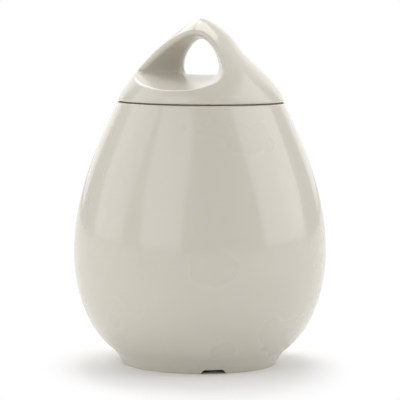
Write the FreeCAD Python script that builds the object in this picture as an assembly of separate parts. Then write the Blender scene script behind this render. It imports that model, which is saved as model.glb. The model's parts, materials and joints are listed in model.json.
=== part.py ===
"""Egg coddler: an egg-shaped porcelain pot on a foot ring, with a lift-off lid.

The lid carries on the egg's curve to its tip. Two flared scoops, one from the front left and
one from the back right, meet under the tip, so that what is left over them is a twisted loop
for one finger.

Millimetres, +Z up, origin at the centre of the foot on the table. The front is -Y.
"""
import FreeCAD, Part
import math
import os

V = FreeCAD.Vector

# Pot: the outline of the egg
belly_radius = 70.0
belly_height = 62.6
belly_fullness_above = 27.4
belly_fullness_below = 27.5
rim_radius = 46.2
seat_height = 145.0
shoulder_length = 28.7
shoulder_slope = 0.486

# Pot: the foot
foot_radius = 42.7
foot_neck_height = 8.5
foot_neck_radius = 48.9
foot_flare_height = 6.1
foot_flare_radius = 45.8
underside_slope = 1.32
underside_length = 8.0
foot_ring_width = 5.0
foot_recess_height = 3.2
foot_recess_slope = 0.5

# Pot: the inside
wall = 4.5
floor_thickness = 6.5
floor_flat_radius = 28.0
floor_curve_radius = 50.0
mouth_radius = 40.4
mouth_depth = 4.0
throat_length = 26.0
throat_slope = 0.62
rim_edge_radius = 1.0

# Pot: notches in the foot that let water drain from under it
notch_count = 3
notch_width = 16.0
notch_top_width = 9.0
notch_height = 2.3
notch_turn = 10.4

# Lid: the tip of the egg
lid_radius = 45.6
lid_height = 46.1
lid_edge_height = 2.2
lid_seat_radius = 44.0
crown_slope = 0.215
crown_fullness_below = 8.9
crown_fullness_above = 10.5
crown_rings = 14
ring_poles = 24

# Lid: the waist in its right flank, beside the arm of the loop
waist_depth = 3.2
waist_height = 27.8
waist_reach_above = 9.0
waist_reach_below = 20.0
waist_half_angle = 60.0

# Lid: the flange that drops into the mouth, and the hollow under the crown
flange_clearance = 1.0
flange_depth = 7.0
flange_wall = 3.6
flange_edge_radius = 0.8
hollow_height = 8.4
hollow_edge_height = 1.6

# Lid: the finger gap and the two scoops that form it
gap_turn = 40.0
gap_waist = 14.5
gap_floor = 15.3
gap_ceiling = 38.8
gap_corner_share = 0.6
gap_corner_height = 0.3
gap_foot_share = 0.88
gap_foot_height = 13.4
gap_shoulder_share = 1.135
gap_shoulder_height = 24.4
scoop_reach = 58.0
scoop_start = 0.5
scoop_rounding = 7.8
scoop_flare = 1.31
scoop_blend = 8.0
scoop_rise = 0.35
scoop_lean = 0.57
floor_lean = 0.19
floor_fall = 0.226
floor_rounding = 3.0
cave_foot_height = 16.0
cave_corner_lift = 0.2
cave_shoulder_share = 0.592
cave_shoulder_height = 25.9
ridge_radius = 1.4
cave_ridge_radius = 2.4


def bezier(*poles):
    """Edge along the Bezier curve with these poles, given as (radius, height)."""
    curve = Part.BezierCurve()
    curve.setPoles([V(radius, 0, height) for radius, height in poles])
    return curve.toShape()


def line(start, end):
    """Straight edge between two points given as (radius, height)."""
    return Part.makeLine(V(start[0], 0, start[1]), V(end[0], 0, end[1]))


def revolve(edges):
    """Solid turned about Z from a closed outline in the XZ plane."""
    face = Part.Face(Part.Wire(Part.__sortEdges__(edges)))
    return face.revolve(V(0, 0, 0), V(0, 0, 1), 360)


def pot_outside():
    """Solid egg with its flared foot, closed at the seat, which has a soft outer edge."""
    foot = (foot_radius, 0.0)
    neck = (foot_neck_radius, foot_neck_height)
    belly = (belly_radius, belly_height)
    rim = (rim_radius + shoulder_slope * rim_edge_radius, seat_height - rim_edge_radius)
    seat = (rim_radius - rim_edge_radius, seat_height)
    underside = (foot_neck_radius + underside_slope * underside_length, foot_neck_height + underside_length)
    shoulder = (rim_radius + shoulder_slope * shoulder_length, seat_height - shoulder_length)
    return revolve([
        line((0.0, 0.0), foot),
        bezier(foot, (foot_flare_radius, foot_flare_height), neck),
        bezier(neck, underside, (belly_radius, belly_height - belly_fullness_below), belly),
        bezier(belly, (belly_radius, belly_height + belly_fullness_above), shoulder, rim),
        bezier(rim, (rim_radius, seat_height), seat),
        line(seat, (0.0, seat_height)),
        line((0.0, seat_height), (0.0, 0.0)),
    ])


def pot_cavity():
    """Solid that fills the pot up to its seat, with a short mouth that has a soft edge."""
    inner_radius = belly_radius - wall
    floor_edge = (floor_flat_radius, floor_thickness)
    belly = (inner_radius, belly_height)
    throat = (mouth_radius, seat_height - mouth_depth)
    throat_pole = (mouth_radius + throat_slope * throat_length, throat[1] - throat_length)
    mouth = (mouth_radius, seat_height - rim_edge_radius)
    seat = (mouth_radius + rim_edge_radius, seat_height)
    return revolve([
        line((0.0, floor_thickness), floor_edge),
        bezier(
            floor_edge,
            (floor_curve_radius, floor_thickness),
            (inner_radius, belly_height - belly_fullness_below),
            belly,
        ),
        bezier(belly, (inner_radius, belly_height + belly_fullness_above), throat_pole, throat),
        line(throat, mouth),
        bezier(mouth, (mouth_radius, seat_height), seat),
        line(seat, (0.0, seat_height)),
        line((0.0, seat_height), (0.0, floor_thickness)),
    ])


def foot_recess():
    """Shallow hollow under the pot that leaves the foot ring standing."""
    ring_inside = foot_radius - foot_ring_width
    top_radius = ring_inside - foot_recess_slope * foot_recess_height
    return Part.makeCone(ring_inside, top_radius, foot_recess_height)


def drain_notch():
    """Soft-cornered channel through the front of the foot ring."""
    half_width = notch_width / 2
    half_top = notch_top_width / 2
    outside = -foot_neck_radius
    inside = -(foot_radius - foot_ring_width) / 2
    corner = V(-half_width, outside, 0)
    top_corner = V(-half_top, outside, notch_height)
    slope = Part.BezierCurve()
    pull = (half_width - half_top) / 2
    slope.setPoles([corner, corner + V(pull, 0, 0), top_corner - V(pull, 0, 0), top_corner])
    left = slope.toShape()
    right = left.mirror(V(0, 0, 0), V(1, 0, 0))
    top = Part.makeLine(top_corner, V(half_top, outside, notch_height))
    bottom = Part.makeLine(corner, V(half_width, outside, 0))
    face = Part.Face(Part.Wire(Part.__sortEdges__([left, top, right, bottom])))
    return face.extrude(V(0, inside - outside, 0))


def make_pot():
    """Pot: egg-shaped wall, flat seat round the mouth, and a notched foot ring."""
    pot = pot_outside().cut(pot_cavity()).cut(foot_recess())
    notch = drain_notch()
    for index in range(notch_count):
        turned = notch.copy()
        turned.rotate(V(0, 0, 0), V(0, 0, 1), notch_turn + 360.0 / notch_count * index)
        pot = pot.cut(turned)
    return pot


def waist_share(turn, height):
    """Share of the waist's depth at a place on the crown: 1 on the right, fading to 0 all round."""
    reach = waist_reach_above if height > waist_height else waist_reach_below
    across = min(abs(math.degrees(turn)) / waist_half_angle, 1.0)
    along = min(abs(height - waist_height) / reach, 1.0)
    return (math.cos(math.pi / 2 * across) * math.cos(math.pi / 2 * along)) ** 2


def turned_skin(profile):
    """Skin turned about Z from the B-spline profile, drawn in at the waist.

    Each pole of the profile becomes a ring of poles, set out a little so that the smooth ring
    that they steer has the radius of the profile's own.
    """
    fullness = 3 / (2 + math.cos(math.tau / ring_poles))
    start = -math.radians(gap_turn)
    rings = []
    for pole in profile.getPoles():
        ring = []
        for index in range(ring_poles):
            turn = math.remainder(start + math.tau * index / ring_poles, math.tau)
            radius = fullness * (pole.x - waist_depth * waist_share(turn, pole.z))
            ring.append(V(radius * math.cos(turn), radius * math.sin(turn), pole.z))
        rings.append(ring)
    skin = Part.BSplineSurface()
    skin.buildFromPolesMultsKnots(
        rings,
        profile.getMultiplicities(),
        [1] * (ring_poles + 1),
        profile.getKnots(),
        [float(knot) for knot in range(ring_poles + 1)],
        False,
        True,
        3,
        3,
    )
    return skin.toShape()


def lid_crown():
    """Tip of the egg above the seat, solid, with a rounded lower edge and a waist on its right."""
    widest = (lid_radius, lid_edge_height)
    seat_edge = (lid_seat_radius, 0.0)
    tip = (0.0, lid_height)
    pull = lid_radius - lid_seat_radius
    flank = (lid_radius - crown_slope * crown_fullness_below, lid_edge_height + crown_fullness_below)
    lower = bezier(
        seat_edge,
        (lid_radius - pull / 3, 0.0),
        (lid_radius + crown_slope * pull, lid_edge_height - pull),
        widest,
    ).Curve.toBSpline()
    upper = bezier(widest, flank, (crown_fullness_above, lid_height), tip).Curve.toBSpline()
    for ring in range(1, crown_rings - 3):
        upper.insertKnot(ring / (crown_rings - 3))
    skins = [turned_skin(lower), turned_skin(upper)]
    seat = min(skins[0].Edges, key=lambda edge: edge.BoundBox.ZMax)
    shell = Part.Shell(skins + [Part.Face(Part.Wire([seat]))])
    shell.sewShape()
    return Part.Solid(shell)


def lid_flange():
    """Ring under the lid that centres it in the pot's mouth, with soft lower edges."""
    outside = mouth_radius - flange_clearance
    inside = outside - flange_wall
    top = hollow_edge_height
    bottom = -flange_depth
    edge = bottom + flange_edge_radius
    return revolve([
        line((inside, top), (inside, edge)),
        bezier((inside, edge), (inside, bottom), (inside + flange_edge_radius, bottom)),
        line((inside + flange_edge_radius, bottom), (outside - flange_edge_radius, bottom)),
        bezier((outside - flange_edge_radius, bottom), (outside, bottom), (outside, edge)),
        line((outside, edge), (outside, top)),
        line((outside, top), (inside, top)),
    ])


def lid_hollow():
    """Domed hollow in the underside, inside the flange."""
    inside = mouth_radius - flange_clearance - flange_wall
    edge = (inside, hollow_edge_height)
    top = (0.0, hollow_height)
    return revolve([
        line((0.0, 0.0), (inside, 0.0)),
        line((inside, 0.0), edge),
        bezier(edge, (inside * 0.8, hollow_edge_height + 1.0), (inside / 2, hollow_height), top),
        line(top, (0.0, 0.0)),
    ])


def wall_reach(station):
    """Sideways distance of the right wall's poles from the axis of the scoops.

    It is least near the middle and flares away from there both ways, like one half of a hyperbola.
    """
    run = scoop_flare * (station + scoop_start)
    return gap_waist + math.sqrt(scoop_rounding ** 2 + run ** 2) - scoop_rounding


def ahead_share(station):
    """Share that runs smoothly from 0 well behind the middle to 1 well ahead of it."""
    return 0.5 + 0.5 * station / math.hypot(station, scoop_blend)


def wall_poles(station):
    """Poles of the right wall at one station: lower corner, foot and shoulder.

    Ahead of the middle this is the upright wall of the finger gap. Behind it, it is the
    overhanging wall of the other scoop's cave, whose lower corner lifts with the distance.
    """
    upright = ahead_share(station)
    cave = 1.0 - upright
    distance = abs(station) * cave
    reach = wall_reach(station)
    middle = floor_lean * station
    crest = scoop_lean * station
    corner_height = floor_height(station) + gap_corner_height + cave_corner_lift * distance
    foot_height = gap_foot_height * upright + cave_foot_height * cave
    shoulder_share = gap_shoulder_share * upright + cave_shoulder_share * cave
    shoulder_height = gap_shoulder_height * upright + cave_shoulder_height * cave
    return [
        (middle + gap_corner_share * (reach - middle), corner_height),
        (gap_foot_share * reach, foot_height),
        (crest + shoulder_share * (reach - crest), shoulder_height),
    ]


def floor_height(station):
    """Height of the floor's poles, which falls away from the middle both ways."""
    return gap_floor - floor_fall * (math.hypot(station, floor_rounding) - floor_rounding)


def gap_section(station):
    """Eight poles round the gap, in a plane across the axis of the scoops.

    A half turn about Z carries the whole gap into itself, so the left wall is the right wall
    of the station as far on the other side of the middle.
    """
    right = wall_poles(station)
    left = [(-side, height) for side, height in reversed(wall_poles(-station))]
    floor = [(floor_lean * station, floor_height(station))]
    crest = [(scoop_lean * station, gap_ceiling + scoop_rise * abs(station))]
    return [V(side, -station, height) for side, height in right + crest + left + floor]


def finger_gap():
    """Solid that fills the finger gap and both scoops, flaring from its waist both ways.

    Its skin is one smooth surface on a net of poles, closed round the gap. It is halved along
    the foot of each wall, so that each ridge has a corner point at its crisp and its soft end.
    """
    ahead = [scoop_reach * share for share in (0.12, 0.28, 0.48, 0.72, 1.0)]
    stations = [-station for station in reversed(ahead)] + [0.0] + ahead
    sections = [gap_section(station) for station in stations]
    around = len(sections[0])
    spans = len(sections) - 3
    skin = Part.BSplineSurface()
    skin.buildFromPolesMultsKnots(
        [list(row) for row in zip(*sections)],
        [1] * (around + 1),
        [4] + [1] * (spans - 1) + [4],
        [float(knot) for knot in range(around + 1)],
        [float(knot) for knot in range(spans + 1)],
        True,
        False,
        3,
        3,
    )
    halves = []
    for start in (0.0, around / 2):
        half = skin.copy()
        half.segment(start, start + around / 2, 0.0, float(spans))
        halves.append(half)
    ends = []
    for knot in (0.0, float(spans)):
        rims = [half.vIso(knot).toShape() for half in halves]
        ends.append(Part.Face(Part.Wire(Part.__sortEdges__(rims))))
    shell = Part.Shell([half.toShape() for half in halves] + ends)
    shell.sewShape()
    gap = Part.Solid(shell)
    gap.rotate(V(0, 0, 0), V(0, 0, 1), -gap_turn)
    return gap


def floor_ridge(shape, crown, gap, front):
    """Edge where the floor of the front or the back scoop runs out through the crown."""
    for edge in shape.Edges:
        if edge.Length < gap_waist:
            continue
        middle = edge.valueAt((edge.FirstParameter + edge.LastParameter) / 2)
        point = Part.Vertex(middle)
        on_crown = point.distToShape(crown.Shells[0])[0] < 1e-3
        on_gap = point.distToShape(gap.Shells[0])[0] < 1e-3
        on_floor = middle.z < min(vertex.Point.z for vertex in edge.Vertexes)
        if on_crown and on_gap and on_floor and (middle.y < 0) == front:
            return edge
    raise ValueError("a scoop has no ridge to round")


def round_ridges(shape, crown, gap):
    """Round both ridges, crisp beside the finger gap and soft at the upper end in each cave."""
    for front in (True, False):
        ridge = floor_ridge(shape, crown, gap, front)
        radii = [ridge_radius, cave_ridge_radius]
        if ridge.firstVertex().Point.z > ridge.lastVertex().Point.z:
            radii.reverse()
        shape = shape.makeFillet(radii[0], radii[1], [ridge])
    return shape


def make_lid():
    """Lid: crown with its looped handle, locating flange and hollow underside."""
    crown = lid_crown()
    gap = finger_gap()
    handle = round_ridges(crown.cut(gap), crown, gap)
    lid = handle.fuse(lid_flange()).cut(lid_hollow())
    lid.translate(V(0, 0, seat_height))
    return lid


def main():
    """Write one STEP file for each piece."""
    os.makedirs("parts", exist_ok=True)
    make_pot().exportStep("parts/pot.step")
    make_lid().exportStep("parts/lid.step")


main()
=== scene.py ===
"""Looks of the porcelain egg coddler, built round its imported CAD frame.

The pot and the lid keep their CAD meshes. This script gives them their glaze and bare clay, and sets
up the studio and the camera that the reference view was taken with.
"""
import json
import logging
import math
from dataclasses import dataclass
from enum import Enum
from typing import Any

import bpy
from mathutils import Euler, Matrix, Vector

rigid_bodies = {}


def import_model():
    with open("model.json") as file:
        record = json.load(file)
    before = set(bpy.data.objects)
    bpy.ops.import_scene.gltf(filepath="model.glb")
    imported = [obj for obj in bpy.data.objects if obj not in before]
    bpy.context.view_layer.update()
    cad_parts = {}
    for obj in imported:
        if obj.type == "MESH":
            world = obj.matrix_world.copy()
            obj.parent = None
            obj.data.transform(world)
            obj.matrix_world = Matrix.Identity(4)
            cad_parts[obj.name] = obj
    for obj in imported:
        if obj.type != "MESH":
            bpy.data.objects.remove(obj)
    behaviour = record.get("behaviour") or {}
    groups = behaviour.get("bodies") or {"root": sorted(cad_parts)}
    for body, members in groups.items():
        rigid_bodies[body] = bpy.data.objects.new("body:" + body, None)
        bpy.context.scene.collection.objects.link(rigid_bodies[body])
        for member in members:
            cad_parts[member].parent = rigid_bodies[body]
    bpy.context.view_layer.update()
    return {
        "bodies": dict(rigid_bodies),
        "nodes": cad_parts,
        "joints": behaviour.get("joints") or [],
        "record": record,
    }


LOG = logging.getLogger("egg_coddler")
MM = 0.001
WHITE = (1.0, 1.0, 1.0, 1.0)

# The standard sRGB curve: a straight toe for dark colours, and a power above it.
SRGB_TOE_END = 0.04045
SRGB_TOE_SLOPE = 12.92
SRGB_OFFSET = 0.055
SRGB_POWER = 2.4

# Blender's Mix node has several inputs and outputs of one name, so its colour ones go by number.
MIX_SHARE = 0
MIX_FIRST = 6
MIX_SECOND = 7
MIX_RESULT = 2

# A new camera looks straight down, and this turn brings it up to level.
LEVEL_DEG = 90.0

# Height at which the seats of the pot and the lid meet, and how unsteady the edge of the band painted
# dark as the seam's shade is there.
SEAT_MM = 145.0
SEAT_WOBBLE_MM = 0.1


class Spot(Enum):
    """Where a softbox stands round the object: its turn from the camera and its rise, in degrees."""

    FRONT_LEFT = (-36.0, 25.0)
    RIGHT = (85.0, 27.0)
    LEFT = (-92.0, 25.0)
    BACK = (180.0, 20.0)
    OVER_BACK_LEFT = (-148.0, 48.0)
    OVER_BACK_RIGHT = (150.0, 48.0)
    OVERHEAD = (165.0, 70.0)


def linear(hex_colour: str) -> tuple[float, float, float, float]:
    """Turn an sRGB hex colour into the linear colour that a shader takes.

    Args:
        hex_colour: Six hex digits, with or without a leading hash.

    Returns:
        Linear red, green, blue and an alpha of 1.
    """
    digits = hex_colour.lstrip("#")
    channels = [int(digits[start:start + 2], 16) / 255 for start in (0, 2, 4)]
    curved = [
        c / SRGB_TOE_SLOPE if c <= SRGB_TOE_END else ((c + SRGB_OFFSET) / (1 + SRGB_OFFSET)) ** SRGB_POWER
        for c in channels
    ]
    return (*curved, 1.0)


def add_node(
    tree: bpy.types.NodeTree,
    kind: str,
    settings: dict[str | int, Any] | None = None,
    links: dict[str | int, bpy.types.NodeSocket] | None = None,
) -> bpy.types.Node:
    """Add a node, set its properties and input values, and link its inputs.

    Args:
        tree: Node tree to add to.
        kind: Blender's node type.
        settings: Property names or input names (or numbers) and their values.
        links: Input names (or numbers) and the output sockets that feed them.

    Returns:
        The new node.
    """
    node = tree.nodes.new(kind)
    for name, value in (settings or {}).items():
        if isinstance(name, str) and hasattr(node, name):
            setattr(node, name, value)
        else:
            node.inputs[name].default_value = value
    for name, socket in (links or {}).items():
        tree.links.new(socket, node.inputs[name])
    return node


def clouds(
    tree: bpy.types.NodeTree, place: bpy.types.NodeSocket, size_mm: float, detail: float
) -> bpy.types.NodeSocket:
    """Add soft noise through the whole object.

    Args:
        tree: Node tree to add to.
        place: Socket with the place on the object, in metres.
        size_mm: Rough size of one patch.
        detail: How many layers of finer noise lie over the patches.

    Returns:
        Socket of the noise, from 0 to 1.
    """
    return add_node(
        tree, "ShaderNodeTexNoise", {"Scale": 1 / (size_mm * MM), "Detail": detail}, {"Vector": place}
    ).outputs["Fac"]


def blend(
    tree: bpy.types.NodeTree, share: bpy.types.NodeSocket, first: str, second: str
) -> bpy.types.NodeSocket:
    """Add a mix of two colours.

    Args:
        tree: Node tree to add to.
        share: Socket with the share of the second colour.
        first: First sRGB hex colour.
        second: Second sRGB hex colour.

    Returns:
        Socket of the mixed colour.
    """
    return add_node(
        tree, "ShaderNodeMix",
        {"data_type": "RGBA", MIX_FIRST: linear(first), MIX_SECOND: linear(second)},
        {MIX_SHARE: share},
    ).outputs[MIX_RESULT]


def roughen(
    tree: bpy.types.NodeTree, relief: bpy.types.NodeSocket, height_mm: float
) -> bpy.types.NodeSocket:
    """Add a skin that is not quite flat.

    Args:
        tree: Node tree to add to.
        relief: Socket with the relief, from 0 to 1.
        height_mm: Height that a relief of 1 stands for.

    Returns:
        Socket of the skin's normal.
    """
    return add_node(
        tree, "ShaderNodeBump", {"Strength": 1.0, "Distance": height_mm * MM}, {"Height": relief}
    ).outputs["Normal"]


def seen(tree: bpy.types.NodeTree) -> bpy.types.NodeSocket:
    """Add the mask of what the camera sees, also in a reflection or through glass.

    Args:
        tree: Node tree to add to.

    Returns:
        Socket that is 1 for such rays of light and 0 for all others.
    """
    light = add_node(tree, "ShaderNodeLightPath")
    mirrored = add_node(
        tree, "ShaderNodeMath", {"operation": "MAXIMUM"},
        {0: light.outputs["Is Glossy Ray"], 1: light.outputs["Is Transmission Ray"]},
    )
    return add_node(
        tree, "ShaderNodeMath", {"operation": "MAXIMUM"},
        {0: light.outputs["Is Camera Ray"], 1: mirrored.outputs[0]},
    ).outputs[0]


@dataclass(frozen=True)
class WarmGreyGlaze:
    """Feldspar glaze that the piece is dipped in and that melts to a satin glass in the kiln.

    Its cloudy depth gives the soft, broad highlights, and its clear skin the crisp glints on ridges
    and the tip. It is a shade darker where it ran thicker, and never quite flat, so that no highlight
    has a ruled edge. Light goes a little way into the body under it, furthest in red, which softens
    the shadows of thin walls.
    """

    colour: str = "#CDC8BC"
    thick_colour: str = "#C8C3B6"
    run_mm: float = 38.0
    run_detail: float = 2.0
    roughness: float = 0.28
    roughness_spread: float = 0.03
    depth_share: float = 0.28
    skin_share: float = 0.55
    skin_roughness: float = 0.1
    waviness_mm: float = 9.0
    waviness_detail: float = 1.0
    waviness_height_mm: float = 0.01
    glow_depth_mm: float = 1.2
    glow_reach: tuple[float, float, float] = (1.0, 0.9, 0.7)
    glow_share: float = 0.15
    ior: float = 1.52

    def shade(self, tree: bpy.types.NodeTree, place: bpy.types.NodeSocket) -> bpy.types.NodeSocket:
        """Add the glaze's shader.

        Args:
            tree: Node tree of the material.
            place: Socket with the place on the object, in metres.

        Returns:
            Socket of the shader.
        """
        thickness = clouds(tree, place, self.run_mm, self.run_detail)
        colour = blend(tree, thickness, self.colour, self.thick_colour)
        roughest = self.roughness + self.roughness_spread
        smoothest = self.roughness - self.roughness_spread
        roughness = add_node(
            tree, "ShaderNodeMapRange", {"To Min": roughest, "To Max": smoothest}, {"Value": thickness}
        ).outputs["Result"]
        waves = clouds(tree, place, self.waviness_mm, self.waviness_detail)
        skin = roughen(tree, waves, self.waviness_height_mm)
        return add_node(
            tree, "ShaderNodeBsdfPrincipled",
            {
                "IOR": self.ior,
                "Specular IOR Level": self.depth_share,
                "Coat Weight": self.skin_share,
                "Coat Roughness": self.skin_roughness,
                "Coat IOR": self.ior,
                "Subsurface Weight": self.glow_share,
                "Subsurface Radius": self.glow_reach,
                "Subsurface Scale": self.glow_depth_mm * MM,
            },
            {"Base Color": colour, "Roughness": roughness, "Normal": skin, "Coat Normal": skin},
        ).outputs[0]


@dataclass(frozen=True)
class BareClay:
    """Porcelain body wiped free of glaze before the firing, so that it does not stick in the kiln.

    It is matt and chalky, a little warmer than the glaze, with the fine grain of a damp sponge.
    """

    colour: str = "#CFC6B6"
    stain_and_shade_colour: str = "#B9AE9C"
    grain_mm: float = 0.6
    grain_detail: float = 4.0
    grain_height_mm: float = 0.02
    roughness: float = 0.85
    ior: float = 1.5

    def shade(self, tree: bpy.types.NodeTree, place: bpy.types.NodeSocket) -> bpy.types.NodeSocket:
        """Add the bare clay's shader.

        Args:
            tree: Node tree of the material.
            place: Socket with the place on the object, in metres.

        Returns:
            Socket of the shader.
        """
        grain = clouds(tree, place, self.grain_mm, self.grain_detail)
        colour = blend(tree, grain, self.colour, self.stain_and_shade_colour)
        skin = roughen(tree, grain, self.grain_height_mm)
        return add_node(
            tree, "ShaderNodeBsdfPrincipled",
            {"IOR": self.ior, "Roughness": self.roughness}, {"Base Color": colour, "Normal": skin},
        ).outputs[0]


# Bare clay painted a dull grey-brown as the shade that falls in the seam between pot and lid, which makes
# the seam a dark line.
SEAM_SHADE_CLAY = BareClay(colour="#9C917F", stain_and_shade_colour="#6E6455")


@dataclass(frozen=True)
class WipedBand:
    """Band of heights that the sponge wiped free of glaze, with a slightly unsteady edge."""

    bottom_mm: float
    top_mm: float
    clay: BareClay = BareClay()
    wobble_mm: float = 0.3
    wobble_length_mm: float = 6.0
    wobble_detail: float = 1.0

    def cover(self, tree: bpy.types.NodeTree, place: bpy.types.NodeSocket) -> bpy.types.NodeSocket:
        """Add the band's mask.

        Args:
            tree: Node tree of the material.
            place: Socket with the place on the object, in metres.

        Returns:
            Socket that is 1 inside the band and 0 outside it.
        """
        height = add_node(tree, "ShaderNodeSeparateXYZ", links={0: place}).outputs["Z"]
        noise = clouds(tree, place, self.wobble_length_mm, self.wobble_detail)
        wobble = self.wobble_mm * MM
        shift = add_node(
            tree, "ShaderNodeMath", {"operation": "MULTIPLY_ADD", 1: wobble, 2: -wobble / 2}, {0: noise}
        ).outputs[0]
        shifted = add_node(tree, "ShaderNodeMath", {"operation": "ADD"}, {0: height, 1: shift}).outputs[0]
        middle = (self.bottom_mm + self.top_mm) / 2 * MM
        reach = (self.top_mm - self.bottom_mm) / 2 * MM
        return add_node(
            tree, "ShaderNodeMath", {"operation": "COMPARE", 1: middle, 2: reach}, {0: shifted}
        ).outputs[0]


def shade_painted_seat(below_mm: float, above_mm: float) -> WipedBand:
    """Give the bare band round a seat, painted dark grey-brown as the shade that falls in the seam.

    Args:
        below_mm: How far the band reaches below the seat.
        above_mm: How far the band reaches above the seat.

    Returns:
        The band.
    """
    return WipedBand(SEAT_MM - below_mm, SEAT_MM + above_mm, SEAM_SHADE_CLAY, SEAT_WOBBLE_MM)


@dataclass(frozen=True)
class GlazedPorcelain:
    """Slip-cast porcelain: cast thin in a plaster mould, dipped in glaze, wiped, and fired white-hot."""

    name: str
    wiped: tuple[WipedBand, ...]
    glaze: WarmGreyGlaze = WarmGreyGlaze()

    def make(self) -> bpy.types.Material:
        """Build the material.

        Returns:
            The finished material.
        """
        material = bpy.data.materials.new(self.name)
        material.use_nodes = True
        tree = material.node_tree
        tree.nodes.clear()
        place = add_node(tree, "ShaderNodeTexCoord").outputs["Object"]
        surface = self.glaze.shade(tree, place)
        for band in self.wiped:
            surface = add_node(
                tree, "ShaderNodeMixShader",
                links={0: band.cover(tree, place), 1: surface, 2: band.clay.shade(tree, place)},
            ).outputs[0]
        add_node(tree, "ShaderNodeOutputMaterial", links={"Surface": surface})
        return material


@dataclass
class Piece:
    """One CAD node that keeps its mesh and gets a finish."""

    node: str

    def finish(self) -> GlazedPorcelain:
        """Porcelain that this piece is made of."""
        raise NotImplementedError

    def dress(self, frame: dict[str, Any]) -> None:
        """Put the finish on the node.

        Args:
            frame: The loaded CAD frame.
        """
        piece = frame["nodes"][self.node]
        material = self.finish().make()
        for slot in piece.material_slots:
            slot.material = material
        LOG.info("%s: %d faces, %s", self.node, len(piece.data.polygons), material.name)


@dataclass
class Pot(Piece):
    """Lower part of the egg. Its foot and its seat are bare, and the rest is glazed inside and out."""

    node: str = "pot"
    foot_below_mm: float = 1.0
    foot_above_mm: float = 0.5
    seat_below_mm: float = 0.3
    seat_above_mm: float = 1.0

    def finish(self) -> GlazedPorcelain:
        """Porcelain wiped under the foot and on the seat, and the seat painted dark grey as the shade in
        the seam.
        """
        foot = WipedBand(-self.foot_below_mm, self.foot_above_mm)
        seat = shade_painted_seat(self.seat_below_mm, self.seat_above_mm)
        return GlazedPorcelain("glazed_porcelain_pot", (foot, seat))


@dataclass
class Lid(Piece):
    """Tip of the egg. It is fired on its seat, which is therefore bare."""

    node: str = "lid"
    seat_below_mm: float = 0.2
    seat_above_mm: float = 0.5

    def finish(self) -> GlazedPorcelain:
        """Porcelain wiped on the seat and the edge beside it, both painted dark grey as the shade in the
        seam.
        """
        seat = shade_painted_seat(self.seat_below_mm, self.seat_above_mm)
        return GlazedPorcelain("glazed_porcelain_lid", (seat,))


@dataclass
class PhotoCamera:
    """Camera at the reference view: far off with a long lens, just above the tip, aimed slightly down.

    Lengths are in metres where the name does not say otherwise.
    """

    distance: float = 1.1845
    sideways: float = -0.0002
    height: float = 0.1956
    pitch_deg: float = 5.07
    roll_deg: float = 0.427
    lens_mm: float = 192.6
    sensor_mm: float = 36.0

    def place(self) -> None:
        """Make the camera and set it as the scene's own."""
        data = bpy.data.cameras.new("photo_camera")
        data.lens = self.lens_mm
        data.sensor_width = self.sensor_mm
        camera = bpy.data.objects.new("photo_camera", data)
        bpy.context.scene.collection.objects.link(camera)
        turn = Euler((math.radians(LEVEL_DEG - self.pitch_deg), 0.0, 0.0)).to_matrix()
        roll = Euler((0.0, 0.0, math.radians(self.roll_deg))).to_matrix()
        place = Matrix.Translation((self.sideways, -self.distance, self.height))
        camera.matrix_world = place @ (turn @ roll).to_4x4()
        bpy.context.scene.camera = camera


@dataclass(frozen=True)
class Softbox:
    """Lamp behind white cloth, facing the object. Its lengths are in metres."""

    spot: Spot
    radiance: float
    width: float
    height: float
    distance: float = 1.4
    aim_height: float = 0.09

    def place(self) -> None:
        """Make the softbox as an area lamp that the camera does not see."""
        data = bpy.data.lights.new(f"softbox_{self.spot.name.lower()}", "AREA")
        data.shape = "RECTANGLE"
        data.size = self.width
        data.size_y = self.height
        data.energy = self.radiance * math.pi * self.width * self.height
        lamp = bpy.data.objects.new(data.name, data)
        bpy.context.scene.collection.objects.link(lamp)
        turn, rise = (math.radians(angle) for angle in self.spot.value)
        away = Vector((math.sin(turn) * math.cos(rise), -math.cos(turn) * math.cos(rise), math.sin(rise)))
        lamp.location = Vector((0.0, 0.0, self.aim_height)) + self.distance * away
        lamp.rotation_euler = (-away).to_track_quat("-Z", "Y").to_euler()
        lamp.visible_camera = False


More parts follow.
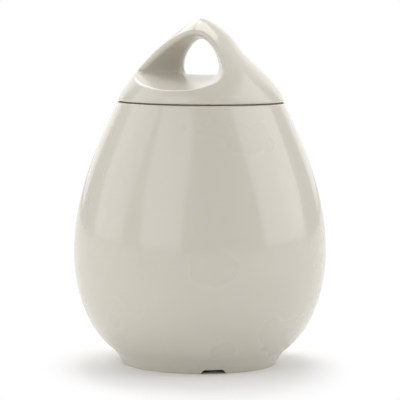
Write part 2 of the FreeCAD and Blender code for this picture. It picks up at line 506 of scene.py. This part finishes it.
@dataclass
class Studio:
    """White paper sweep, softboxes round the object and dim air between them.

    The paper's own look fades out between two distances from the object's axis, in metres, and it
    does so sooner to the sides than to the front and back.
    """

    softboxes: tuple[Softbox, ...] = (
        Softbox(Spot.FRONT_LEFT, radiance=1.5, width=1.0, height=1.3),
        Softbox(Spot.RIGHT, radiance=1.7, width=1.4, height=1.4),
        Softbox(Spot.LEFT, radiance=1.1, width=1.0, height=1.3),
        Softbox(Spot.BACK, radiance=0.8, width=2.2, height=1.0),
        Softbox(Spot.OVER_BACK_LEFT, radiance=2.5, width=0.9, height=0.7),
        Softbox(Spot.OVER_BACK_RIGHT, radiance=0.5, width=0.9, height=0.7),
        Softbox(Spot.OVERHEAD, radiance=3.5, width=0.8, height=0.5),
    )
    air: float = 0.4
    floor_size: float = 8.0
    floor_grey: float = 0.9
    floor_roughness: float = 0.9
    fade_start: float = 0.11
    fade_end: float = 0.17
    fade_sideways: float = 1.9

    def light_air(self) -> None:
        """Fill the world with dim even light, and show it to the camera as white."""
        world = bpy.data.worlds.new("studio_air")
        bpy.context.scene.world = world
        world.use_nodes = True
        tree = world.node_tree
        tree.nodes.clear()
        camera_ray = add_node(tree, "ShaderNodeLightPath").outputs["Is Camera Ray"]
        strength = add_node(
            tree, "ShaderNodeMapRange", {"To Min": self.air, "To Max": 1.0}, {"Value": camera_ray}
        ).outputs["Result"]
        air = add_node(tree, "ShaderNodeBackground", {"Color": WHITE}, {"Strength": strength})
        add_node(tree, "ShaderNodeOutputWorld", links={"Surface": air.outputs[0]})

    def paper(self) -> bpy.types.Material:
        """Build the white paper, which is plain white to the camera away from the object.

        Returns:
            The finished material.
        """
        material = bpy.data.materials.new("white_paper_sweep")
        material.use_nodes = True
        tree = material.node_tree
        tree.nodes.clear()
        grey = (self.floor_grey, self.floor_grey, self.floor_grey, 1.0)
        paper = add_node(
            tree, "ShaderNodeBsdfPrincipled",
            {"Base Color": grey, "Roughness": self.floor_roughness, "Specular IOR Level": 0.0},
        )
        place = add_node(tree, "ShaderNodeTexCoord").outputs["Object"]
        stretched = add_node(
            tree, "ShaderNodeVectorMath",
            {"operation": "MULTIPLY", 1: (self.fade_sideways, 1.0, 1.0)}, {0: place},
        ).outputs[0]
        away = add_node(
            tree, "ShaderNodeVectorMath", {"operation": "LENGTH"}, {0: stretched}
        ).outputs["Value"]
        fade = add_node(
            tree, "ShaderNodeMapRange",
            {"interpolation_type": "SMOOTHSTEP", "From Min": self.fade_start, "From Max": self.fade_end},
            {"Value": away},
        ).outputs["Result"]
        share = add_node(
            tree, "ShaderNodeMath", {"operation": "MULTIPLY"}, {0: fade, 1: seen(tree)}
        ).outputs[0]
        plain = add_node(tree, "ShaderNodeEmission", {"Color": WHITE})
        surface = add_node(
            tree, "ShaderNodeMixShader", links={0: share, 1: paper.outputs[0], 2: plain.outputs[0]}
        )
        add_node(tree, "ShaderNodeOutputMaterial", links={"Surface": surface.outputs[0]})
        return material

    def lay_floor(self) -> None:
        """Lay the paper under the object, where it keeps the object's shadow."""
        half = self.floor_size / 2
        sheet = [(-half, -half, 0.0), (half, -half, 0.0), (half, half, 0.0), (-half, half, 0.0)]
        mesh = bpy.data.meshes.new("floor")
        mesh.from_pydata(sheet, [], [(0, 1, 2, 3)])
        floor = bpy.data.objects.new("floor", mesh)
        bpy.context.scene.collection.objects.link(floor)
        mesh.materials.append(self.paper())

    def set_up(self) -> None:
        """Light the air, lay the floor, place every softbox and keep the camera's colours plain."""
        self.light_air()
        self.lay_floor()
        for softbox in self.softboxes:
            softbox.place()
        bpy.context.scene.view_settings.view_transform = "Standard"


def main() -> None:
    """Load the frame, set up the studio and the camera, and dress the pot and the lid."""
    logging.basicConfig(level=logging.INFO, format="%(name)s: %(message)s")
    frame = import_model()
    PhotoCamera().place()
    Studio().set_up()
    for piece in (Pot(), Lid()):
        piece.dress(frame)


if __name__ == "__main__":
    main()
